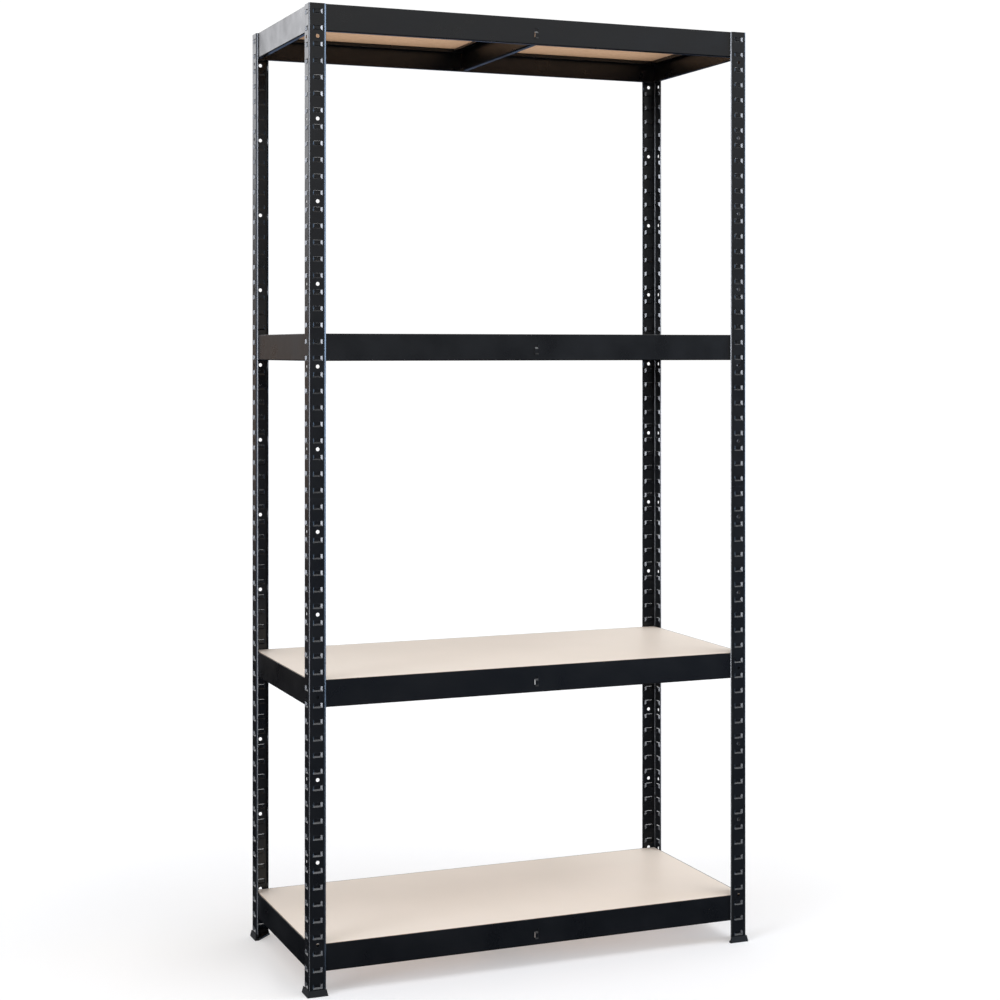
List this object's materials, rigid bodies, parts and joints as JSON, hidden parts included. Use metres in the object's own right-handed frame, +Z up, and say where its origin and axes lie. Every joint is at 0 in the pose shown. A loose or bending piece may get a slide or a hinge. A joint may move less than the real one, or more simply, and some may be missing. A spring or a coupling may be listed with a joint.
{
  "type": "boltless steel shelving",
  "caption": "Free-standing boltless shelving: pressed angle posts with pocket slots, hooked steel beams, centre braces and loose fibreboard shelves.",
  "frame": {"origin": "on the floor, at the centre of the footprint", "axes": "+Z up, +X along the width to the right seen from the front, -Y towards the front"},
  "size_m": [0.907, 0.407, 1.803],
  "materials": {
    "powder_coated_steel": "semi-gloss black powder coat on folded sheet steel",
    "fibreboard": "fibreboard, cream melamine foil on top, bare brown fibre below and at the edges",
    "black_plastic": "moulded black polypropylene, fine texture"
  },
  "bodies": {
    "frame": {"foot_front_left": "black_plastic", "foot_front_right": "black_plastic", "foot_rear_right": "black_plastic", "foot_rear_left": "black_plastic", "upright_front_left_lower": "powder_coated_steel", "upright_front_left_upper": "powder_coated_steel", "upright_front_right_lower": "powder_coated_steel", "upright_front_right_upper": "powder_coated_steel", "upright_rear_right_lower": "powder_coated_steel", "upright_rear_right_upper": "powder_coated_steel", "upright_rear_left_lower": "powder_coated_steel", "upright_rear_left_upper": "powder_coated_steel", "upright_joiner_front_left": "powder_coated_steel", "upright_joiner_front_right": "powder_coated_steel", "upright_joiner_rear_right": "powder_coated_steel", "upright_joiner_rear_left": "powder_coated_steel", "beam_front_1": "powder_coated_steel", "beam_rear_1": "powder_coated_steel", "beam_left_1": "powder_coated_steel", "beam_right_1": "powder_coated_steel", "beam_front_2": "powder_coated_steel", "beam_rear_2": "powder_coated_steel", "beam_left_2": "powder_coated_steel", "beam_right_2": "powder_coated_steel", "beam_front_3": "powder_coated_steel", "beam_rear_3": "powder_coated_steel", "beam_left_3": "powder_coated_steel", "beam_right_3": "powder_coated_steel", "beam_front_4": "powder_coated_steel", "beam_rear_4": "powder_coated_steel", "beam_left_4": "powder_coated_steel", "beam_right_4": "powder_coated_steel", "centre_brace_1": "powder_coated_steel", "centre_brace_2": "powder_coated_steel", "centre_brace_3": "powder_coated_steel", "centre_brace_4": "powder_coated_steel"},
    "shelf_board_1": {"board_1": "fibreboard"},
    "shelf_board_2": {"board_2": "fibreboard"},
    "shelf_board_3": {"board_3": "fibreboard"},
    "shelf_board_4": {"board_4": "fibreboard"}
  },
  "joints": [
    {"name": "board_1_lift", "type": "slide", "parent": "frame", "child": "shelf_board_1", "axis": [0, 0, 1], "range_m": [0, 0.1]},
    {"name": "board_2_lift", "type": "slide", "parent": "frame", "child": "shelf_board_2", "axis": [0, 0, 1], "range_m": [0, 0.1]},
    {"name": "board_3_lift", "type": "slide", "parent": "frame", "child": "shelf_board_3", "axis": [0, 0, 1], "range_m": [0, 0.1]},
    {"name": "board_4_lift", "type": "slide", "parent": "frame", "child": "shelf_board_4", "axis": [0, 0, 1], "range_m": [0, 0.1]}
  ]
}
